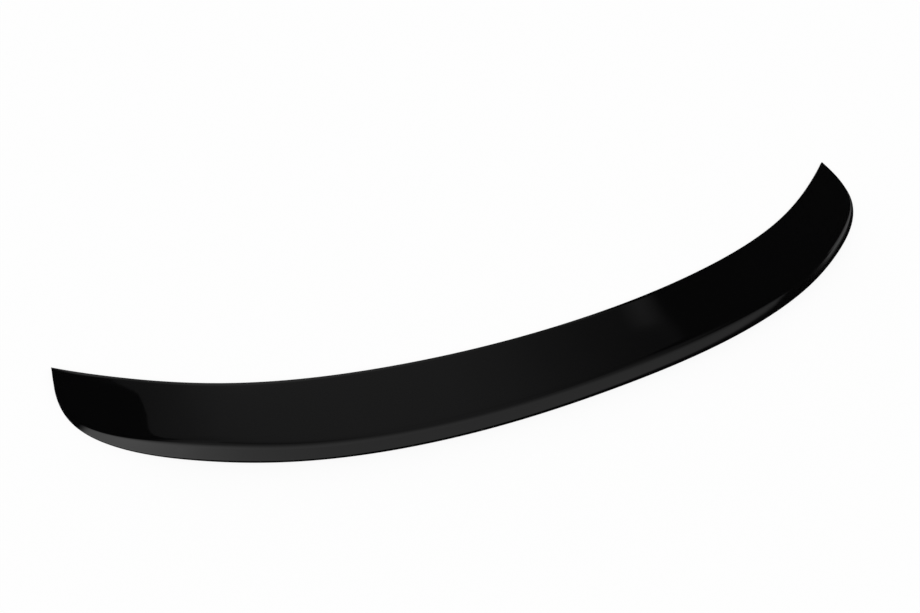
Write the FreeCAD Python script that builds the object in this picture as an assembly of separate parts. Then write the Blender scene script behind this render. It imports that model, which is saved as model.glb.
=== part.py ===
import FreeCAD, Part
import math
import os

# Lip spoiler for the rear edge of a car's boot lid, moulded in one piece.
# Millimetres. X runs across the car, +Y points to the car's front, Z is up.
# The bonding face lies on z = 0, and the origin is under the middle of the part's box.

# Plan: a crescent between a front edge and a rear foot, which meet at two narrow tips
TIP_SPAN = 1080.0
FRONT_SWEEP = 139.0
MID_CHORD = 95.5
TIP_WIDTH = 6.0
TIP_RAKE = 78.0

# Section: a thin front edge, a rising top, a rounded crest, a leaning rear wall and an upright rear edge
CREST_HEIGHT = 18.5
CREST_INSET = 9.5
CREST_RADIUS = 7.0
FRONT_EDGE_HEIGHT = 3.0
FRONT_EDGE_RADIUS = 2.5
REAR_EDGE_SHARE = 0.14
REAR_EDGE_RADIUS = 6.0

# The crest sinks to the front edge's height round the corners, and closes on the foot at the tips
CREST_SINKS_FROM = 0.62
CREST_SINKS_TO = 0.92
TIP_INSET = 1.5
INSET_CLOSES_FROM = 0.7

# Underside: a shallow pocket between two bonding lands, crossed by stiffening ribs
SKIN = 3.0
FRONT_LAND = 24.0
REAR_LAND = 6.0
POCKET_RADIUS = 1.5
POCKET_REACH = 0.74
RIB_COUNT = 11
RIB_THICKNESS = 2.0
RIB_SETBACK = 1.5

# Stations along the span: how many each side of the middle, and how they crowd to the tips
HALF_STATIONS = 8
STATION_BIAS = 1.6

# The lofts run this far below the bonding face, which then trims them flat
TRIM = 3.0

# Form of the two plan edges on one half: share of the half span, share of the edge's whole sweep
FRONT_FORM = [(0.0, 0.0), (0.4, 0.118), (0.7, 0.409), (0.9, 0.772), (1.0, 1.0)]
REAR_FORM = [
    (0.0, 0.0),
    (0.39, 0.061),
    (0.68, 0.241),
    (0.862, 0.461),
    (0.948, 0.633),
    (0.984, 0.789),
    (1.0, 1.0),
]

half_span = TIP_SPAN / 2
front_mid_y = (MID_CHORD - FRONT_SWEEP) / 2
rear_mid_y = front_mid_y - MID_CHORD
tip_y = front_mid_y + FRONT_SWEEP
tip_back = math.radians(TIP_RAKE)
up = FreeCAD.Vector(0, 0, 1)


def plan_edge(form, middle_y, end_x, end_y):
    """A smooth curve on the ground from one tip to the other, through its form points and their mirror."""
    half = [(x * end_x, middle_y + y * (end_y - middle_y)) for x, y in form]
    mirrored = [(-x, y) for x, y in reversed(half[1:])]
    curve = Part.BSplineCurve()
    curve.interpolate([FreeCAD.Vector(x, y, 0) for x, y in mirrored + half])
    return curve.toShape()


front_edge = plan_edge(FRONT_FORM, front_mid_y, half_span, tip_y)
rear_foot = plan_edge(
    REAR_FORM,
    rear_mid_y,
    half_span - TIP_WIDTH * math.cos(tip_back),
    tip_y - TIP_WIDTH * math.sin(tip_back),
)


def along(edge, station):
    """The point of an edge at a station: -1 and 1 are its ends, 0 is its middle, by length."""
    return edge.valueAt(edge.getParameterByLength(edge.Length * (1 + station) / 2))


def station_axes(station):
    """Foot point, direction forward over the section and chord length at a station."""
    foot = along(rear_foot, station)
    across = along(front_edge, station) - foot
    chord = across.Length
    return foot, across.normalize(), chord


def fade(station, start, end):
    """1 in the middle of the part and 0 at its ends, with a smooth change from start to end."""
    share = min(max((abs(station) - start) / (end - start), 0), 1)
    return 1 - share * share * (3 - 2 * share)


def crest_height(station):
    rise = CREST_HEIGHT - FRONT_EDGE_HEIGHT
    return FRONT_EDGE_HEIGHT + rise * fade(station, CREST_SINKS_FROM, CREST_SINKS_TO)


def crest_inset(station):
    return TIP_INSET + (CREST_INSET - TIP_INSET) * fade(station, INSET_CLOSES_FROM, 1.0)


def rounded_wire(corners, radii):
    """A closed wire of straight runs through the corners, each rounded to its radius by a cubic bend."""
    arcs = []
    for k, (corner, radius) in enumerate(zip(corners, radii)):
        before = (corners[k - 1] - corner).normalize()
        after = (corners[(k + 1) % len(corners)] - corner).normalize()
        half_angle = before.getAngle(after) / 2
        reach = radius / math.tan(half_angle)
        handle = radius * math.tan((math.pi / 2 - half_angle) / 2) * 4 / 3
        start = corner + before * reach
        end = corner + after * reach
        arcs.append((start, start - before * handle, end - after * handle, end))
    edges = []
    for k, arc in enumerate(arcs):
        if radii[k] > 0:
            bend = Part.BezierCurve()
            bend.setPoles(arc)
            edges.append(bend.toShape())
        edges.append(Part.LineSegment(arc[-1], arcs[(k + 1) % len(arcs)][0]).toShape())
    return Part.Wire(edges)


def outer_section(station):
    """The outside of the moulding: flat base, front edge, rising top, crest, rear wall and rear edge."""
    foot, forward, chord = station_axes(station)
    height = crest_height(station)
    corners = [
        foot - up * TRIM,
        foot + forward * chord - up * TRIM,
        foot + forward * chord + up * FRONT_EDGE_HEIGHT,
        foot + forward * crest_inset(station) + up * height,
        foot + up * (REAR_EDGE_SHARE * height),
    ]
    share = height / CREST_HEIGHT
    radii = [0, 0, FRONT_EDGE_RADIUS, CREST_RADIUS * share, REAR_EDGE_RADIUS * share]
    return rounded_wire(corners, radii)


def pocket_section(station):
    """The hollow under the skin, open downwards between the front land and the rear land."""
    foot, forward, chord = station_axes(station)
    height = crest_height(station)
    lean = crest_inset(station) / height
    slope = (height - FRONT_EDGE_HEIGHT) / (chord - height * lean)
    drop = SKIN * math.sqrt(1 + slope * slope)
    front_ceiling = FRONT_EDGE_HEIGHT + slope * FRONT_LAND - drop
    rear_ceiling = height + slope * height * lean - slope * REAR_LAND - drop
    rear_ceiling = rear_ceiling / (1 + slope * lean)
    corners = [
        foot + forward * (REAR_LAND - TRIM * lean) - up * TRIM,
        foot + forward * (chord - FRONT_LAND) - up * TRIM,
        foot + forward * (chord - FRONT_LAND) + up * front_ceiling,
        foot + forward * (REAR_LAND + rear_ceiling * lean) + up * rear_ceiling,
    ]
    return rounded_wire(corners, [0, 0, POCKET_RADIUS, POCKET_RADIUS])


def stations(reach):
    """Stations from -reach to reach, closer together towards the ends."""
    steps = [k / HALF_STATIONS for k in range(HALF_STATIONS + 1)]
    right = [reach * (1 - (1 - step) ** STATION_BIAS) for step in steps]
    return [-s for s in reversed(right[1:])] + right


def rib(station):
    """A thin upright plate along the section at a station, set back from the bonding face."""
    foot, forward, chord = station_axes(station)
    plate = Part.makeBox(chord, RIB_THICKNESS, CREST_HEIGHT)
    plate.translate(FreeCAD.Vector(0, -RIB_THICKNESS / 2, RIB_SETBACK))
    plate.rotate(FreeCAD.Vector(), up, math.degrees(math.atan2(forward.y, forward.x)))
    plate.translate(foot)
    return plate


outside = Part.makeLoft([outer_section(s) for s in stations(1.0)], True)
below_face = Part.makeBox(2 * TIP_SPAN, 2 * TIP_SPAN, 2 * TRIM)
below_face.translate(FreeCAD.Vector(-TIP_SPAN, -TIP_SPAN, -2 * TRIM))
outside = outside.cut(below_face)
pocket = Part.makeLoft([pocket_section(s) for s in stations(POCKET_REACH)], True)
rib_places = [POCKET_REACH * (2 * (k + 1) / (RIB_COUNT + 1) - 1) for k in range(RIB_COUNT)]
pocket = pocket.cut([rib(s) for s in rib_places])
lip_spoiler = outside.cut(pocket)

os.makedirs("parts", exist_ok=True)
lip_spoiler.exportStep("parts/lip_spoiler.step")
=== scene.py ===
import bmesh
import bpy
import math
import numpy as np
from mathutils import Matrix, Vector


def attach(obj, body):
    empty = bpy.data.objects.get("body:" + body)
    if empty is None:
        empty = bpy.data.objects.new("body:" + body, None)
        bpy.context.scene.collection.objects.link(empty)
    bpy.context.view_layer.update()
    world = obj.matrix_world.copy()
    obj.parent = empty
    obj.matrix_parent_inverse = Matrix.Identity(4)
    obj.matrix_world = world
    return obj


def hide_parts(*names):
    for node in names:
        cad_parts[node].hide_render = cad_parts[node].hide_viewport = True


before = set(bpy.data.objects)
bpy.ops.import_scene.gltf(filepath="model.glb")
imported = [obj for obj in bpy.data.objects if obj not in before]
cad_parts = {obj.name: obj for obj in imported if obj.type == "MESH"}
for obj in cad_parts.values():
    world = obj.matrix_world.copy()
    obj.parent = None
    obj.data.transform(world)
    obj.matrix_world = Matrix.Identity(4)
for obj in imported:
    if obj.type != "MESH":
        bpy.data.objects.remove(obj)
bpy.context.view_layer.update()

# The moulding's dimensions in millimetres, as in the part's source
TIP_SPAN = 1080.0
FRONT_SWEEP = 139.0
MID_CHORD = 95.5
TIP_WIDTH = 6.0
TIP_RAKE = math.radians(78.0)
CREST_HEIGHT = 18.5
CREST_INSET = 9.5
CREST_RADIUS = 7.0
FRONT_EDGE_HEIGHT = 3.0
REAR_EDGE_SHARE = 0.14
REAR_EDGE_RADIUS = 6.0
CREST_SINKS_FROM = 0.62
CREST_SINKS_TO = 0.92
TIP_INSET = 1.5
INSET_CLOSES_FROM = 0.7
SKIN = 3.0
FRONT_LAND = 24.0
REAR_LAND = 6.0
POCKET_RADIUS = 1.5
POCKET_REACH = 0.74
RIB_COUNT = 11
RIB_THICKNESS = 2.0
RIB_SETBACK = 1.5
HALF_STATIONS = 8
STATION_BIAS = 1.6
FRONT_FORM = [(0.0, 0.0), (0.4, 0.118), (0.7, 0.409), (0.9, 0.772), (1.0, 1.0)]
REAR_FORM = [
    (0.0, 0.0), (0.39, 0.061), (0.68, 0.241), (0.862, 0.461), (0.948, 0.633), (0.984, 0.789), (1.0, 1.0),
]
METRE = 1000.0

# Soft roll of the front margin, which catches a line of light, in millimetres
ROLL_WIDTH = 4.0
ROLL_DROP = 0.7
ROLL_RADIUS = 12.0
ROLL_CHORD_SHARE = 0.3
ROLL_EDGE_RADIUS = 1.8

# Fineness of the skin that the gloss needs: points of a plan edge, stations, and pieces of each run and bend
EDGE_POINTS = 6001
FINE_HALF_STATIONS = 100
WALL_STEPS = 5
TOP_STEPS = 14
ROLL_STEPS = 2
BEND_STEPS = 9
POCKET_WALL_STEPS = 2
CEILING_STEPS = 8

# How far the ribs reach into the skin, in millimetres
RIB_EMBED = 0.3

# Joins of the mesh: how near two points in metres and two stations count as one, and which edges stay sharp
MERGE_WITHIN = 1e-6
STATION_SLACK = 1e-9
SHARP_FROM = math.radians(32)

# Photograph's frame and viewing angle, with the camera's place in metres
PHOTO_WIDTH = 920
FOCAL_PIXELS = 549.3
SENSOR_WIDTH = 36.0
CLIP_START = 0.01
EYE = Vector((-0.2872, -0.328, 0.5017))
CAMERA_AZIMUTH = math.radians(-25.55)
CAMERA_ELEVATION = math.radians(50.46)
CAMERA_ROLL = math.radians(3.95)

# Gloss black plastic: a polished outside, and a grained underside where the normal turns down.
# Depths are in metres
PLASTIC_IOR = 1.5
UNDERSIDE_TURN = (-0.1, -0.4)
OUTSIDE_BLACK = (0.0014, 0.0014, 0.0015, 1)
UNDERSIDE_BLACK = (0.006, 0.006, 0.0063, 1)
NOISE_RANGE = (0.3, 0.7)
POLISH_SCALE = 9
POLISH_DETAIL = 3
POLISH_ROUGHNESS = (0.03, 0.06)
GRAIN_SCALE = 1300
GRAIN_DETAIL = 2
GRAIN_ROUGHNESS = (0.36, 0.5)
GRAIN_DEPTH = 0.00006
RIPPLE_SCALE = 60
RIPPLE_DETAIL = 1
RIPPLE_DEPTH = 0.000006

# Sockets of Blender's mix node, whose names repeat for each kind of value
MIX_SHARE = 0
MIX_NUMBERS = (2, 3)
MIX_COLOURS = (6, 7)
MIX_COLOUR_OUT = 2

# Stage in metres, and the floor's white
FLOOR_HALF = 8.0
FLOOR_OWN_WHITE = 0.82
PAPER_WHITE = (0.94, 0.94, 0.94, 1)
CARD_DARK = 0.006

# The tent, a dome seen only in the gloss that paints reflections, in metres and degrees: its foot's
# elevation, and the step between its points
TENT_RADIUS = 3.0
TENT_FOOT = -6
TENT_STEP = 2
TENT_DARK = 0.008

# Painted reflection light of the tent's rim, back and crown by bearing in degrees: 0 in front of the part,
# 90 at its right end
RIM_LIGHT = [
    (-180, 0.51), (-162, 0.55), (-141, 0.66), (-128, 0.84), (-116, 1.07), (-103, 1.32), (-92, 1.2),
    (-89, 1.15), (-85, 0.0), (115, 0.0), (118, 0.17), (121, 0.23), (129, 0.28), (137, 0.33), (145, 0.38),
    (161, 0.46), (180, 0.51),
]
BACK_LIGHT = [(-180, 0.2), (-126, 0.2), (-114, 0.0), (116, 0.0), (130, 0.14), (145, 0.2), (180, 0.2)]
CROWN_LIGHT = [
    (-180, 0.2), (-97, 0.18), (-30, 0.16), (0, 0.2), (40, 0.1), (60, 0.06), (84, 0.08), (109, 0.12),
    (126, 0.18), (180, 0.2),
]

# Elevations between which the rim's light fades out and the crown's light comes in
RIM_FULL_TO = 2
RIM_ENDS_AT = 60
CROWN_FROM = 42
CROWN_FULL_AT = 50

# The canopy, a card seen only in the gloss that paints the grey reflection on the top face. Its upright
# front: z, left edge and right edge. Its level roof: y, left edge and right edge
CANOPY_FRONT_Y = 1.6
CANOPY_FRONT = [
    (0.3, -1.06, 0.8), (0.85, -1.06, 1.1), (1.08, -1.06, 1.3), (1.13, -1.06, 1.35), (1.2, -1.06, 1.41),
    (1.27, -1.03, 1.47), (1.39, -1.02, 1.535), (1.47, -1.02, 1.585), (1.53, -1.045, 1.64),
    (1.6, -1.085, 1.705), (1.72, -1.16, 1.79), (1.77, -1.22, 1.82), (2.6, -1.9, 2.4),
]
CANOPY_ROOF_Z = 2.6
CANOPY_ROOF = [(0.6, -1.6, 2.1), (-1.0, -1.2, 1.85), (-2.2, -1.1, 1.8)]

# The canopy's painted reflection light: share of its width, light below CANOPY_LOW and light above
# CANOPY_HIGH
CANOPY_LIGHT = [
    (0.0, 0.09, 0.09), (0.11, 0.12, 0.12), (0.2, 0.17, 0.17), (0.27, 0.19, 0.19), (0.376, 0.205, 0.205),
    (0.546, 0.19, 0.19), (0.65, 0.15, 0.15), (0.74, 0.105, 0.105), (0.84, 0.07, 0.07), (0.92, 0.055, 0.05),
    (0.943, 0.1, 0.045), (0.965, 0.14, 0.045), (0.985, 0.1, 0.05), (1.012, 0.008, 0.008),
]
CANOPY_LOW = 1.45
CANOPY_HIGH = 1.55

# The canopy's foot glows by this share more, up to the first height and fading to the second
CANOPY_FOOT_GLOW = 0.6
GLOW_FULL_TO = 0.85
GLOW_ENDS_AT = 1.08

# The lit table behind the part, a card seen only in the gloss, by place across it in metres: light, a
# painted pool of light brightest at the left end with a patch for the right corner's painted highlight, and
# how far from the wall it stays dark, a painted contact shadow
TABLE_HALF = 4.0
TABLE_LIFT = 0.0002
TABLE = [
    (-0.512, CARD_DARK, 0.004), (-0.506, 1.05, 0.004), (-0.48, 1.3, 0.004), (-0.437, 1.1, 0.004),
    (-0.408, 0.82, 0.004), (-0.369, 0.64, 0.005), (-0.3, 0.53, 0.006), (-0.184, 0.49, 0.012),
    (-0.078, 0.46, 0.03), (0.046, 0.4, 0.05), (0.116, 0.31, 0.05), (0.179, 0.28, 0.05),
    (0.233, 0.22, 0.055), (0.252, 0.18, 0.06), (0.26, 0.1, 0.07), (0.268, CARD_DARK, 0.1),
    (0.33, CARD_DARK, 0.03), (0.36, 0.05, 0.03), (0.385, 0.24, 0.03), (0.45, 0.26, 0.03),
    (0.494, 0.34, 0.03), (0.51, CARD_DARK, 0.03),
]

# The lit table's rows by distance from the wall, how soft the edge of its painted contact shadow is, and the
# foot points per column
TABLE_STEPS = [-0.004, 0.003, 0.007, 0.012, 0.02, 0.03, 0.045, 0.06, 0.08, 0.11, 0.16, 0.3, 0.7, 1.5, 3.2]
DARK_EDGE = 0.3
FOOT_STRIDE = 50

# The card beside the part's right end, seen only in the gloss, that paints the highlights on the crest of
# that end: y, height and light, and its rows as shares of the height
SIDE_HIGHLIGHT_X = 2.0
SIDE_HIGHLIGHT = [
    (-0.36, 0.42, CARD_DARK), (-0.26, 0.42, 0.28), (0.1, 0.42, 0.28), (0.45, 0.42, 0.3), (0.7, 0.34, 0.32),
    (0.78, 0.34, CARD_DARK),
]
SIDE_HIGHLIGHT_RISES = (-0.05, 1.0, 1.35)

# The low panel in front of the part's left end, seen only in the gloss as a painted reflection: x, height
# and light, and its rows as shares of the height
LOW_PANEL_Y = 1.55
LOW_PANEL = [
    (-2.1, 1.06, CARD_DARK), (-1.85, 1.06, 1.0), (-1.15, 1.06, 1.0), (-1.0, 1.0, 0.75), (-0.72, 0.92, 0.28),
]
LOW_PANEL_RISES = (0.1, 0.25, 1.0, 1.08)


def spline(knots, values, places):
    """Smooth cubic curve through values at knots, with each end run a parabola, read at places."""
    gap = np.diff(knots)
    count = len(knots)
    system = np.zeros((count, count))
    wanted = np.zeros((count,) + values.shape[1:])
    for i in range(1, count - 1):
        system[i, i - 1:i + 2] = gap[i - 1], 2 * (gap[i - 1] + gap[i]), gap[i]
        wanted[i] = 6 * ((values[i + 1] - values[i]) / gap[i] - (values[i] - values[i - 1]) / gap[i - 1])
    system[0, :2] = 1, -1
    system[-1, -2:] = -1, 1
    bend = np.linalg.solve(system, wanted.reshape(count, -1)).reshape(wanted.shape)
    k = np.clip(np.searchsorted(knots, places) - 1, 0, count - 2)
    shape = (-1,) + (1,) * (values.ndim - 1)
    before = ((knots[k + 1] - places) / gap[k]).reshape(shape)
    after = 1 - before
    wide = gap[k].reshape(shape) ** 2 / 6
    level = before * values[k] + after * values[k + 1]
    return level + ((before ** 3 - before) * bend[k] + (after ** 3 - after) * bend[k + 1]) * wide


def lengths_along(points):
    """How far along a line of points each of them lies."""
    return np.concatenate([[0], np.cumsum(np.linalg.norm(np.diff(points, axis=0), axis=1))])


def plan_edge(form, middle_y, end_x, end_y):
    """Fine points of a plan edge from the left tip to the right one, and the station of each, -1 to 1."""
    half = np.array([(x * end_x, middle_y + y * (end_y - middle_y)) for x, y in form])
    knots = np.concatenate([half[:0:-1] * (-1, 1), half])
    along = lengths_along(knots)
    points = spline(along, knots, np.linspace(0, along[-1], EDGE_POINTS))
    length = lengths_along(points)
    return points, length / length[-1] * 2 - 1


front_mid_y = (MID_CHORD - FRONT_SWEEP) / 2
tip_y = front_mid_y + FRONT_SWEEP
front_edge = plan_edge(FRONT_FORM, front_mid_y, TIP_SPAN / 2, tip_y)
rear_foot = plan_edge(
    REAR_FORM,
    front_mid_y - MID_CHORD,
    TIP_SPAN / 2 - TIP_WIDTH * math.cos(TIP_RAKE),
    tip_y - TIP_WIDTH * math.sin(TIP_RAKE),
)


def at_station(edge, station):
    """The point of a plan edge at a station, on the ground."""
    points, places = edge
    return np.array([np.interp(station, places, points[:, k]) for k in (0, 1)] + [0.0])


def station_axes(station):
    """Foot point, direction forward over the section and chord length at a station."""
    foot = at_station(rear_foot, station)
    across = at_station(front_edge, station) - foot
    chord = np.linalg.norm(across)
    return foot, across / chord, chord


def smooth(value, start, end):
    """0 before start, 1 after end, and a smooth change between."""
    share = min(max((value - start) / (end - start), 0), 1)
    return share * share * (3 - 2 * share)


def crest_height(station):
    sunk = smooth(abs(station), CREST_SINKS_FROM, CREST_SINKS_TO)
    return CREST_HEIGHT + (FRONT_EDGE_HEIGHT - CREST_HEIGHT) * sunk


def crest_inset(station):
    closed = smooth(abs(station), INSET_CLOSES_FROM, 1.0)
    return CREST_INSET + (TIP_INSET - CREST_INSET) * closed


def rounded_line(corners, radii, steps):
    """Points along straight runs with corners rounded by cubic bends; steps counts each run's pieces."""
    corners = [np.array(corner, float) for corner in corners]
    runs = [[corners[0]]]
    bends = []
    for before, corner, after, radius in zip(corners, corners[1:], corners[2:], radii):
        back = (before - corner) / np.linalg.norm(before - corner)
        on = (after - corner) / np.linalg.norm(after - corner)
        half_angle = math.acos(float(np.clip(back @ on, -1, 1))) / 2
        reach = radius / math.tan(half_angle)
        handle = radius * math.tan((math.pi / 2 - half_angle) / 2) * 4 / 3
        start = corner + back * reach
        end = corner + on * reach
        runs[-1].append(start)
        runs.append([end])
        t = np.linspace(0, 1, BEND_STEPS + 1)[1:-1, None]
        first = start - back * handle
        last = end - on * handle
        inner = 3 * t * (1 - t) ** 2 * first + 3 * t * t * (1 - t) * last
        bends.append((1 - t) ** 3 * start + inner + t ** 3 * end)
    runs[-1].append(corners[-1])
    line = []
    for k, (start, end) in enumerate(runs):
        line.append(start + np.linspace(0, 1, steps[k] + 1)[:, None] * (end - start))
        if k < len(bends):
            line.append(bends[k])
    return np.concatenate(line)


def outer_line(station):
    """The outside from the rear foot over the crest to the front foot, as forward and up."""
    chord = station_axes(station)[2]
    height = crest_height(station)
    inset = crest_inset(station)
    roll = min(ROLL_WIDTH, ROLL_CHORD_SHARE * chord)
    slope = (height - FRONT_EDGE_HEIGHT) / (chord - inset)
    corners = [
        (0, 0),
        (0, REAR_EDGE_SHARE * height),
        (inset, height),
        (chord - roll, FRONT_EDGE_HEIGHT + slope * roll),
        (chord, FRONT_EDGE_HEIGHT - ROLL_DROP * roll / ROLL_WIDTH),
        (chord, 0),
    ]
    share = height / CREST_HEIGHT
    return rounded_line(
        corners,
        [REAR_EDGE_RADIUS * share, CREST_RADIUS * share, ROLL_RADIUS * roll / ROLL_WIDTH, ROLL_EDGE_RADIUS],
        [1, WALL_STEPS, TOP_STEPS, ROLL_STEPS, 1],
    )


def pocket_line(station):
    """The hollow from the rear land over its ceiling to the front land, as forward and up."""
    chord = station_axes(station)[2]
    height = crest_height(station)
    lean = crest_inset(station) / height
    slope = (height - FRONT_EDGE_HEIGHT) / (chord - height * lean)
    drop = SKIN * math.sqrt(1 + slope * slope)
    front_ceiling = FRONT_EDGE_HEIGHT + slope * FRONT_LAND - drop
    rear_ceiling = (height + slope * height * lean - slope * REAR_LAND - drop) / (1 + slope * lean)
    corners = [
        (REAR_LAND, 0),
        (REAR_LAND + rear_ceiling * lean, rear_ceiling),
        (chord - FRONT_LAND, front_ceiling),
        (chord - FRONT_LAND, 0),
    ]
    return rounded_line(
        corners,
        [POCKET_RADIUS, POCKET_RADIUS],
        [POCKET_WALL_STEPS, CEILING_STEPS, POCKET_WALL_STEPS],
    )


def stations(reach, half_count):
    """Stations from -reach to reach, closer together towards the ends."""
    steps = np.linspace(0, 1, half_count + 1)
    right = reach * (1 - (1 - steps) ** STATION_BIAS)
    return np.concatenate([-right[:0:-1], right])


def placed(line, station):
    """Points of a section line in the part's own frame."""
    foot, forward, _ = station_axes(station)
    return foot + line[:, :1] * forward + line[:, 1:] * np.array([0.0, 0.0, 1.0])


def lofted(line, reach, places):
    """The smooth surface through the section lines of the source's stations, read at places."""
    sections = stations(reach, HALF_STATIONS)
    return spline(sections, np.array([placed(line(s), s) for s in sections]), places)


def grid_faces(count, width, start=0):
    """Faces between neighbouring rows of points: count rows of width points, from point start on."""
    corners = [start + i * width + j for i in range(count - 1) for j in range(width - 1)]
    return [(corner, corner + 1, corner + width + 1, corner + width) for corner in corners]


class Patchwork:
    """Points in metres and faces of a mesh that grows patch by patch."""

    def __init__(self):
        self.points = []
        self.faces = []

    def grid(self, rows):
        """A patch between neighbouring rows of points."""
        count, width = rows.shape[:2]
        self.faces.extend(grid_faces(count, width, len(self.points)))
        self.points.extend(tuple(p) for p in rows.reshape(-1, 3) / METRE)

    def polygon(self, points):
        """One face round its own points."""
        start = len(self.points)
        self.points.extend(tuple(p) for p in np.asarray(points) / METRE)
        self.faces.append(tuple(range(start, len(self.points))))


def add_ribs(patches):
    """Thin upright plates across the pocket, set back from the bonding face."""
    for k in range(RIB_COUNT):
        station = POCKET_REACH * (2 * (k + 1) / (RIB_COUNT + 1) - 1)
        _, forward, _ = station_axes(station)
        line = pocket_line(station)
        middle = line.mean(axis=0)
        line = line + RIB_EMBED * np.sign(line - middle) * (line[:, 1:] > RIB_SETBACK)
        line[:, 1] = np.maximum(line[:, 1], RIB_SETBACK)
        side = np.array([-forward[1], forward[0], 0.0]) * RIB_THICKNESS / 2
        near = placed(line, station) - side
        far = placed(line, station) + side
        patches.polygon(near)
        patches.polygon(far[::-1])
        patches.grid(np.stack([np.vstack([near, near[:1]]), np.vstack([far, far[:1]])]))


def moulding_patches():
    """The moulding's outside, pocket, bonding lands, ends and ribs."""
    places = np.union1d(stations(1.0, FINE_HALF_STATIONS), [-POCKET_REACH, POCKET_REACH])
    hollow = places[np.abs(places) <= POCKET_REACH + STATION_SLACK]
    outer = lofted(outer_line, 1.0, places)
    outer[..., 2] = np.maximum(outer[..., 2], 0)
    pocket = lofted(pocket_line, POCKET_REACH, hollow)
    patches = Patchwork()
    patches.grid(outer)
    patches.grid(pocket)
    inside = np.isin(places, hollow)
    rear = outer[:, 0]
    front = outer[:, -1]
    patches.grid(np.stack([rear[inside], pocket[:, 0]], axis=1))
    patches.grid(np.stack([pocket[:, -1], front[inside]], axis=1))
    left = places <= -POCKET_REACH + STATION_SLACK
    right = places >= POCKET_REACH - STATION_SLACK
    for end, side in ((0, left), (-1, right)):
        patches.polygon(pocket[end])
        chord = np.linalg.norm(front[inside][end] - rear[inside][end])
        shares = np.array([0, REAR_LAND / chord, 1 - FRONT_LAND / chord, 1])[None, :, None]
        patches.grid(rear[side][:, None] + shares * (front[side] - rear[side])[:, None])
        patches.polygon(outer[end])
    add_ribs(patches)
    return patches


def smooth_moulding():
    """The moulding again, with a skin fine enough for its gloss."""
    patches = moulding_patches()
    mesh = bpy.data.meshes.new("moulding")
    mesh.from_pydata(patches.points, [], patches.faces)
    work = bmesh.new()
    work.from_mesh(mesh)
    bmesh.ops.remove_doubles(work, verts=work.verts, dist=MERGE_WITHIN)
    bmesh.ops.recalc_face_normals(work, faces=work.faces)
    work.to_mesh(mesh)
    work.free()
    mesh.shade_smooth()
    mesh.set_sharp_from_angle(angle=SHARP_FROM)
    piece = bpy.data.objects.new("moulding", mesh)
    bpy.context.scene.collection.objects.link(piece)
    return piece


def make_camera():
    """A camera that stands where the photograph's did, with its own roll."""
    back = Vector((
        math.sin(CAMERA_AZIMUTH) * math.cos(CAMERA_ELEVATION),
        -math.cos(CAMERA_AZIMUTH) * math.cos(CAMERA_ELEVATION),
        math.sin(CAMERA_ELEVATION),
    ))
    level_right = Vector((math.cos(CAMERA_AZIMUTH), math.sin(CAMERA_AZIMUTH), 0.0))
    level_up = back.cross(level_right)
    right = level_right * math.cos(CAMERA_ROLL) + level_up * math.sin(CAMERA_ROLL)
    up = back.cross(right)
    data = bpy.data.cameras.new("photo_camera")
    data.sensor_width = SENSOR_WIDTH
    data.lens = FOCAL_PIXELS * SENSOR_WIDTH / PHOTO_WIDTH
    data.clip_start = CLIP_START
    camera = bpy.data.objects.new("photo_camera", data)
    camera.matrix_world = Matrix((right, up, back)).transposed().to_4x4()
    camera.location = EYE
    bpy.context.scene.collection.objects.link(camera)
    bpy.context.scene.camera = camera


def new_material(name):
    """An empty material, its nodes and its links."""
    material = bpy.data.materials.new(name)
    material.use_nodes = True
    nodes = material.node_tree.nodes
    nodes.clear()
    return material, nodes, material.node_tree.links


def stage_mesh(name, points, faces, material):
    """A thing that belongs to the stage and not to the part."""
    mesh = bpy.data.meshes.new(name)
    mesh.from_pydata(points, [], faces)
    mesh.materials.append(material)
    thing = bpy.data.objects.new(name, mesh)
    bpy.context.scene.collection.objects.link(thing)
    return thing


def square(half, height):
    return [(-half, -half, height), (half, -half, height), (half, half, height), (-half, half, height)]


def seen_directly(nodes, links):
    """1 for rays from the camera, a gloss or a glass, and 0 for the light that falls on things."""
    path = nodes.new("ShaderNodeLightPath")
    total = path.outputs["Is Camera Ray"]
    for name in ("Is Glossy Ray", "Is Transmission Ray"):
        most = nodes.new("ShaderNodeMath")
        most.operation = "MAXIMUM"
        links.new(total, most.inputs[0])
        links.new(path.outputs[name], most.inputs[1])
        total = most.outputs[0]
    return total


def floor_material():
    """White paper that keeps a soft shadow: most of its white is its own, the rest is the light it gets."""
    material, nodes, links = new_material("white_floor")
    out = nodes.new("ShaderNodeOutputMaterial")
    mix = nodes.new("ShaderNodeMixShader")
    paper = nodes.new("ShaderNodeBsdfDiffuse")
    paper.inputs["Color"].default_value = PAPER_WHITE
    white = nodes.new("ShaderNodeEmission")
    white.inputs["Strength"].default_value = 1.0
    share = nodes.new("ShaderNodeMath")
    share.operation = "MULTIPLY"
    share.inputs[1].default_value = FLOOR_OWN_WHITE
    links.new(seen_directly(nodes, links), share.inputs[0])
    links.new(share.outputs[0], mix.inputs["Fac"])
    links.new(paper.outputs[0], mix.inputs[1])
    links.new(white.outputs[0], mix.inputs[2])
    links.new(mix.outputs[0], out.inputs["Surface"])
    return material


def card_material():
    """A card that glows with the light stored at its points: a painted reflection, as it lights nothing."""
    material, nodes, links = new_material("painted_reflection_card")
    out = nodes.new("ShaderNodeOutputMaterial")
    light = nodes.new("ShaderNodeEmission")
    stored = nodes.new("ShaderNodeAttribute")
    stored.attribute_name = "light"
    links.new(stored.outputs["Color"], light.inputs["Color"])
    links.new(light.outputs[0], out.inputs["Surface"])
    return material


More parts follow.
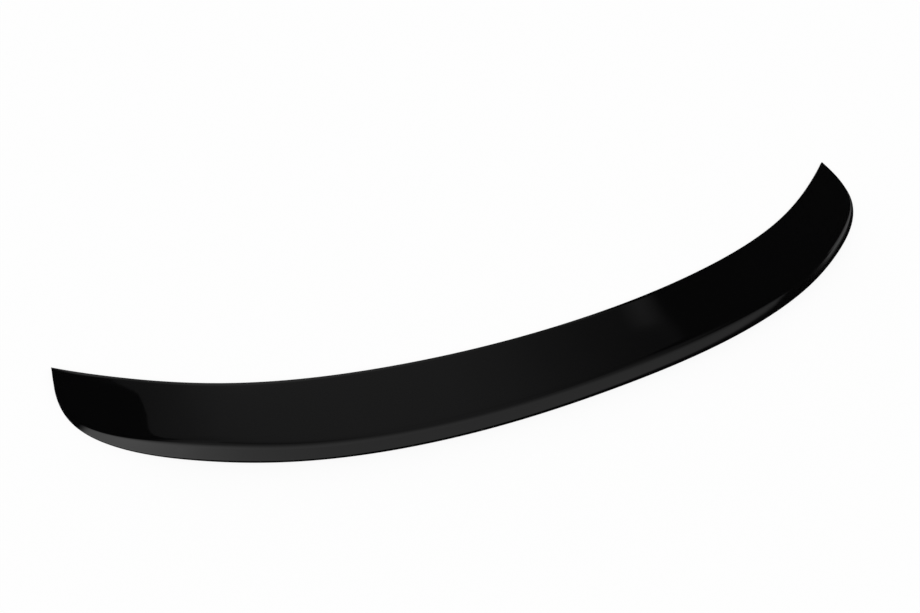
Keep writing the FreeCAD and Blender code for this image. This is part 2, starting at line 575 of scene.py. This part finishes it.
def card(name, points, faces, light):
    """A card that shows only in the gloss of the part: a painted reflection that lights nothing and casts no
    shadow.
    """
    thing = stage_mesh(name, points, faces, painted_reflection_card)
    stored = thing.data.color_attributes.new("light", "FLOAT_COLOR", "POINT")
    for k, level in enumerate(light):
        stored.data[k].color = (level, level, level, 1)
    thing.visible_camera = False
    thing.visible_diffuse = False
    thing.visible_transmission = False
    thing.visible_shadow = False


def card_grid(name, rows, light):
    """A card between neighbouring rows of points, with the light of each point."""
    points = [point for row in rows for point in row]
    levels = [level for row in light for level in row]
    card(name, points, grid_faces(len(rows), len(rows[0])), levels)


def read_column(table, column, place):
    """A column of a table, read at a place between its rows."""
    return float(np.interp(place, [row[0] for row in table], [row[column] for row in table]))


def make_tent():
    """A dark round tent seen only in the gloss, its glow a painted reflection: the light of its rim dims
    upwards into that of its back and crown.
    """
    rows = []
    light = []
    for elevation in range(TENT_FOOT, 90 + TENT_STEP, TENT_STEP):
        rows.append([])
        light.append([])
        rim = 1 - smooth(elevation, RIM_FULL_TO, RIM_ENDS_AT)
        crown = smooth(elevation, CROWN_FROM, CROWN_FULL_AT)
        flat = TENT_RADIUS * math.cos(math.radians(elevation))
        height = TENT_RADIUS * math.sin(math.radians(elevation))
        for bearing in range(-180, 180 + TENT_STEP, TENT_STEP):
            turn = math.radians(bearing)
            rows[-1].append((flat * math.sin(turn), flat * math.cos(turn), height))
            back = max(read_column(BACK_LIGHT, 1, bearing), crown * read_column(CROWN_LIGHT, 1, bearing))
            light[-1].append(TENT_DARK + (1 - rim) * back + rim * read_column(RIM_LIGHT, 1, bearing))
    card_grid("tent", rows, light)


def make_canopy():
    """A soft panel in front of the part that runs on over it, seen only in the gloss: a painted reflection.
    """
    edges = [(CANOPY_FRONT_Y, z, left, right) for z, left, right in CANOPY_FRONT]
    edges += [(y, CANOPY_ROOF_Z, left, right) for y, left, right in CANOPY_ROOF]
    rows = []
    light = []
    for y, z, left, right in edges:
        high = smooth(z, CANOPY_LOW, CANOPY_HIGH)
        glow = 1 + CANOPY_FOOT_GLOW * (1 - smooth(z, GLOW_FULL_TO, GLOW_ENDS_AT))
        rows.append([(left + share * (right - left), y, z) for share, _, _ in CANOPY_LIGHT])
        light.append([glow * (below + (above - below) * high) for _, below, above in CANOPY_LIGHT])
    card_grid("canopy", rows, light)


def mirrored_ways(feet):
    """Level directions in which the rear wall over the foot points mirrors the table to the camera."""
    along = np.gradient(feet, axis=0)
    along /= np.linalg.norm(along, axis=1)[:, None]
    lean = CREST_INSET / (CREST_HEIGHT * (1 - REAR_EDGE_SHARE))
    wall = np.column_stack([along[:, 1], -along[:, 0], np.full(len(feet), lean)]) / math.hypot(1, lean)
    sight = np.column_stack([feet, np.zeros(len(feet))]) - np.array(EYE)
    mirrored = sight - 2 * np.sum(sight * wall, axis=1)[:, None] * wall
    return mirrored[:, :2] / np.linalg.norm(mirrored[:, :2], axis=1)[:, None]


def make_table():
    """A dark sheet under the part and a graded card where the rear wall mirrors it, both seen only in the
    gloss: painted reflections, with a painted pool of light and a painted contact shadow along the wall.
    """
    # A dark sheet seen only in the gloss: a painted dark reflection in place of the white floor.
    card("painted_dark_floor_reflection", square(TABLE_HALF, TABLE_LIFT), [(0, 1, 2, 3)], [CARD_DARK] * 4)
    feet = rear_foot[0][::FOOT_STRIDE] / METRE
    ways = mirrored_ways(feet)
    rows = []
    light = []
    for step in TABLE_STEPS:
        rows.append([(x, y, 2 * TABLE_LIFT) for x, y in feet + step * ways])
        light.append([])
        for x, _ in feet:
            dark_to = read_column(TABLE, 2, x)
            shown = smooth(step, (1 - DARK_EDGE) * dark_to, (1 + DARK_EDGE) * dark_to)
            light[-1].append(CARD_DARK + read_column(TABLE, 1, x) * shown)
    # Seen only in the gloss: a painted pool of light, bright at the left end, with a painted contact shadow
    # along the wall.
    card_grid("painted_table_reflection", rows, light)


def make_crest_highlight_card():
    """An upright card beside the part's right end that fades out upwards, seen only in the gloss: a painted
    highlight along that end's crest.
    """
    lit = [level for _, _, level in SIDE_HIGHLIGHT]
    dark = [CARD_DARK] * len(SIDE_HIGHLIGHT)
    rows = [[(SIDE_HIGHLIGHT_X, y, rise * height) for y, height, _ in SIDE_HIGHLIGHT] for rise in SIDE_HIGHLIGHT_RISES]
    card_grid("painted_crest_highlight_card", rows, [lit, lit, dark])


def make_low_panel():
    """A low upright card in front of the part's left end, with dark upper and lower edges, seen only in the
    gloss: a painted reflection.
    """
    lit = [level for _, _, level in LOW_PANEL]
    dark = [CARD_DARK] * len(LOW_PANEL)
    rows = [[(x, LOW_PANEL_Y, rise * height) for x, height, _ in LOW_PANEL] for rise in LOW_PANEL_RISES]
    card_grid("painted_left_reflection_card", rows, [dark, lit, lit, dark])


def noise(nodes, links, place, scale, detail):
    """Cloudy noise over the piece's own coordinates."""
    grain = nodes.new("ShaderNodeTexNoise")
    grain.inputs["Scale"].default_value = scale
    grain.inputs["Detail"].default_value = detail
    links.new(place, grain.inputs["Vector"])
    return grain.outputs["Fac"]


def ranged(nodes, links, value, source, target):
    """A number whose range from source is stretched to target."""
    reach = nodes.new("ShaderNodeMapRange")
    names = ("From Min", "From Max", "To Min", "To Max")
    for name, number in zip(names, source + target):
        reach.inputs[name].default_value = number
    links.new(value, reach.inputs["Value"])
    return reach.outputs["Result"]


def mixed(nodes, links, share, first, second):
    """A number that is first where share is 0 and second where it is 1."""
    mix = nodes.new("ShaderNodeMix")
    mix.data_type = "FLOAT"
    links.new(share, mix.inputs[MIX_SHARE])
    links.new(first, mix.inputs[MIX_NUMBERS[0]])
    links.new(second, mix.inputs[MIX_NUMBERS[1]])
    return mix.outputs[0]


def bump(nodes, links, height, distance, below=None):
    """A normal bent by a height, on top of the bump below it if there is one."""
    ripple = nodes.new("ShaderNodeBump")
    ripple.inputs["Distance"].default_value = distance
    links.new(height, ripple.inputs["Height"])
    if below is not None:
        links.new(below, ripple.inputs["Normal"])
    return ripple.outputs["Normal"]


def gloss_black():
    """Gloss black moulded plastic: a polished outside with a faint mould ripple, and a grained underside."""
    material, nodes, links = new_material("gloss_black_plastic")
    out = nodes.new("ShaderNodeOutputMaterial")
    shell = nodes.new("ShaderNodeBsdfPrincipled")
    shell.inputs["IOR"].default_value = PLASTIC_IOR
    coords = nodes.new("ShaderNodeTexCoord")
    place = coords.outputs["Object"]
    turned = nodes.new("ShaderNodeSeparateXYZ")
    links.new(coords.outputs["Normal"], turned.inputs[0])
    underside = ranged(nodes, links, turned.outputs["Z"], UNDERSIDE_TURN, (0, 1))

    tone = nodes.new("ShaderNodeMix")
    tone.data_type = "RGBA"
    tone.inputs[MIX_COLOURS[0]].default_value = OUTSIDE_BLACK
    tone.inputs[MIX_COLOURS[1]].default_value = UNDERSIDE_BLACK
    links.new(underside, tone.inputs[MIX_SHARE])
    links.new(tone.outputs[MIX_COLOUR_OUT], shell.inputs["Base Color"])

    haze = noise(nodes, links, place, POLISH_SCALE, POLISH_DETAIL)
    polish = ranged(nodes, links, haze, NOISE_RANGE, POLISH_ROUGHNESS)
    grain = noise(nodes, links, place, GRAIN_SCALE, GRAIN_DETAIL)
    matte = ranged(nodes, links, grain, NOISE_RANGE, GRAIN_ROUGHNESS)
    links.new(mixed(nodes, links, underside, polish, matte), shell.inputs["Roughness"])

    raised = nodes.new("ShaderNodeMath")
    raised.operation = "MULTIPLY"
    links.new(grain, raised.inputs[0])
    links.new(underside, raised.inputs[1])
    swell = noise(nodes, links, place, RIPPLE_SCALE, RIPPLE_DETAIL)
    ripple = bump(nodes, links, swell, RIPPLE_DEPTH)
    links.new(bump(nodes, links, raised.outputs[0], GRAIN_DEPTH, ripple), shell.inputs["Normal"])
    links.new(shell.outputs[0], out.inputs["Surface"])
    return material


def set_world():
    """A plain white sky."""
    world = bpy.data.worlds.new("studio")
    bpy.context.scene.world = world
    world.use_nodes = True
    sky = world.node_tree.nodes["Background"]
    sky.inputs["Color"].default_value = (1, 1, 1, 1)
    sky.inputs["Strength"].default_value = 1.0


painted_reflection_card = card_material()
make_camera()
set_world()
moulding = smooth_moulding()
moulding.data.materials.append(gloss_black())
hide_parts("lip_spoiler")
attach(moulding, "root")
stage_mesh("floor", square(FLOOR_HALF, 0), [(0, 1, 2, 3)], floor_material())
make_tent()
make_canopy()
make_table()
make_crest_highlight_card()
make_low_panel()

bpy.context.scene.view_settings.view_transform = "Standard"
